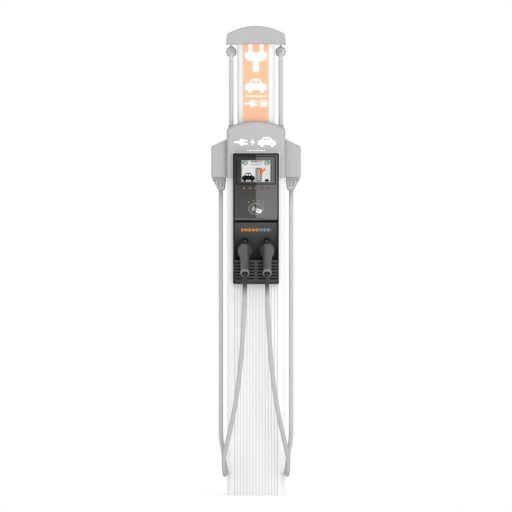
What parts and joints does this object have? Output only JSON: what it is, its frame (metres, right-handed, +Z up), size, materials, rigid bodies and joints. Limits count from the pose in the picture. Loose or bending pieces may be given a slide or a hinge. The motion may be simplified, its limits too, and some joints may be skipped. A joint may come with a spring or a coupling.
{
  "type": "ev charging post",
  "caption": "Floor-standing EV charging post: fluted pole, dual-output charger front, head with side arms, upper mast with cable retractor under a domed cap.",
  "frame": {"origin": "centre of the base plate's underside, on the ground", "axes": "+Z up the post, the charger's front faces -Y, +X to the right as seen from the front"},
  "size_m": [0.345, 0.3304, 1.807],
  "materials": {
    "pole_white": "satin white powder coat",
    "mast_white": "gloss white powder coat",
    "cover_grey": "light grey, fine satin texture",
    "clamp_grey": "light grey moulded",
    "boot_rubber": "grey moulded rubber",
    "cable_jacket": "grey cable jacket, darker near the connector",
    "fascia_black": "black moulded",
    "display_black": "dark satin gloss",
    "grille_black": "dark grey moulded",
    "module_black": "black",
    "connector_grey": "dark grey, fine texture",
    "ring_grey": "dark grey",
    "black_rubber": "black",
    "button_dark": "dark with an orange centre",
    "led_green": "lit green",
    "lcd_face": "lit screen",
    "clear_cover": "clear",
    "sign_orange": "pale orange with white marks",
    "circuit_board": "green board",
    "sheave_nylon": "off-white nylon",
    "cast_bracket": "cast",
    "zinc_steel": "zinc plated",
    "bright_steel": "stainless"
  },
  "bodies": {
    "root": {"base_plate": "zinc_steel", "base_brackets": "zinc_steel", "lower_pole": "pole_white", "upper_pole": "mast_white", "pole_collars": "cast_bracket", "sign_panel": "sign_orange", "sign_lens": "clear_cover", "top_cap": "cover_grey", "pulley_frame": "zinc_steel", "pulley_axles": "bright_steel", "inner_cables": "cable_jacket", "head_front": "cover_grey", "head_back": "cover_grey", "cable_grommets": "cover_grey", "fascia_chassis": "fascia_black", "display_panel": "display_black", "display_gasket": "black_rubber", "display_bezel": "display_black", "display_lens": "clear_cover", "lcd_module": "lcd_face", "control_board": "circuit_board", "status_leds": "led_green", "card_reader": "module_black", "holster_panel": "fascia_black", "vent_grille": "grille_black", "power_module": "module_black", "cover_screws": "bright_steel", "retractor_wire_left": "bright_steel", "cable_legs_left": "cable_jacket", "side_arm_left": "cover_grey", "arm_boot_left": "boot_rubber", "holster_left": "module_black", "charging_cable_left": "cable_jacket", "retractor_wire_right": "bright_steel", "cable_legs_right": "cable_jacket", "side_arm_right": "cover_grey", "arm_boot_right": "boot_rubber", "holster_right": "module_black", "charging_cable_right": "cable_jacket"},
    "clamp_left": {"cable_clamp_left": "clamp_grey", "cable_bend_left": "cable_jacket"},
    "weight_left": {"counterweight_left": "zinc_steel"},
    "sheave_left": {"pulley_left": "sheave_nylon"},
    "connector_left": {"connector_body_left": "connector_grey", "connector_nose_left": "module_black", "connector_rings_left": "ring_grey"},
    "latch_left": {"latch_lever_left": "module_black"},
    "clamp_right": {"cable_clamp_right": "clamp_grey", "cable_bend_right": "cable_jacket"},
    "weight_right": {"counterweight_right": "zinc_steel"},
    "sheave_right": {"pulley_right": "sheave_nylon"},
    "connector_right": {"connector_body_right": "connector_grey", "connector_nose_right": "module_black", "connector_rings_right": "ring_grey"},
    "latch_right": {"latch_lever_right": "module_black"},
    "key_1": {"button_1": "button_dark"},
    "key_2": {"button_2": "button_dark"},
    "key_3": {"button_3": "button_dark"},
    "key_4": {"button_4": "button_dark"},
    "key_5": {"button_5": "button_dark"}
  },
  "joints": [
    {"name": "weight_slide_left", "type": "slide", "parent": "root", "child": "weight_left", "axis": [0, 0, 1], "range_m": [0, 0.2]},
    {"name": "clamp_slide_left", "type": "slide", "parent": "root", "child": "clamp_left", "axis": [0, 0, -1], "range_m": [0, 0.2], "deforming": ["retractor_wire_left", "cable_legs_left"]},
    {"name": "sheave_spin_left", "type": "hinge", "parent": "root", "child": "sheave_left", "pos_m": [-0.073, 0, 1.764], "axis": [0, -1, 0], "range_deg": [0, 510]},
    {"name": "connector_pull_left", "type": "slide", "parent": "root", "child": "connector_left", "axis": [0, -0.9962, 0.0872], "range_m": [0, 0.06], "deforming": ["charging_cable_left"]},
    {"name": "latch_press_left", "type": "hinge", "parent": "connector_left", "child": "latch_left", "pos_m": [-0.0425, -0.10968, 0.97112], "axis": [1, 0, 0], "range_deg": [0, 3], "stiffness_Nm_per_rad": 2, "springref_deg": -2.86},
    {"name": "weight_slide_right", "type": "slide", "parent": "root", "child": "weight_right", "axis": [0, 0, 1], "range_m": [0, 0.2]},
    {"name": "clamp_slide_right", "type": "slide", "parent": "root", "child": "clamp_right", "axis": [0, 0, -1], "range_m": [0, 0.2], "deforming": ["retractor_wire_right", "cable_legs_right"]},
    {"name": "sheave_spin_right", "type": "hinge", "parent": "root", "child": "sheave_right", "pos_m": [0.073, 0, 1.764], "axis": [0, 1, 0], "range_deg": [0, 510]},
    {"name": "connector_pull_right", "type": "slide", "parent": "root", "child": "connector_right", "axis": [0, -0.9962, 0.0872], "range_m": [0, 0.06], "deforming": ["charging_cable_right"]},
    {"name": "latch_press_right", "type": "hinge", "parent": "connector_right", "child": "latch_right", "pos_m": [0.0425, -0.10968, 0.97112], "axis": [1, 0, 0], "range_deg": [0, 3], "stiffness_Nm_per_rad": 2, "springref_deg": -2.86},
    {"name": "button_press_1", "type": "slide", "parent": "root", "child": "key_1", "axis": [0, 1, 0], "range_m": [0, 0.001], "stiffness_N_per_m": 400, "springref_m": -0.001},
    {"name": "button_press_2", "type": "slide", "parent": "root", "child": "key_2", "axis": [0, 1, 0], "range_m": [0, 0.001], "stiffness_N_per_m": 400, "springref_m": -0.001},
    {"name": "button_press_3", "type": "slide", "parent": "root", "child": "key_3", "axis": [0, 1, 0], "range_m": [0, 0.001], "stiffness_N_per_m": 400, "springref_m": -0.001},
    {"name": "button_press_4", "type": "slide", "parent": "root", "child": "key_4", "axis": [0, 1, 0], "range_m": [0, 0.001], "stiffness_N_per_m": 400, "springref_m": -0.001},
    {"name": "button_press_5", "type": "slide", "parent": "root", "child": "key_5", "axis": [0, 1, 0], "range_m": [0, 0.001], "stiffness_N_per_m": 400, "springref_m": -0.001}
  ],
  "couplings": [
    {"joint": "clamp_slide_left", "follows": "weight_slide_left", "ratio": 1},
    {"joint": "sheave_spin_left", "follows": "weight_slide_left", "rad_per_m": 44.444},
    {"joint": "clamp_slide_right", "follows": "weight_slide_right", "ratio": 1},
    {"joint": "sheave_spin_right", "follows": "weight_slide_right", "rad_per_m": 44.444}
  ]
}
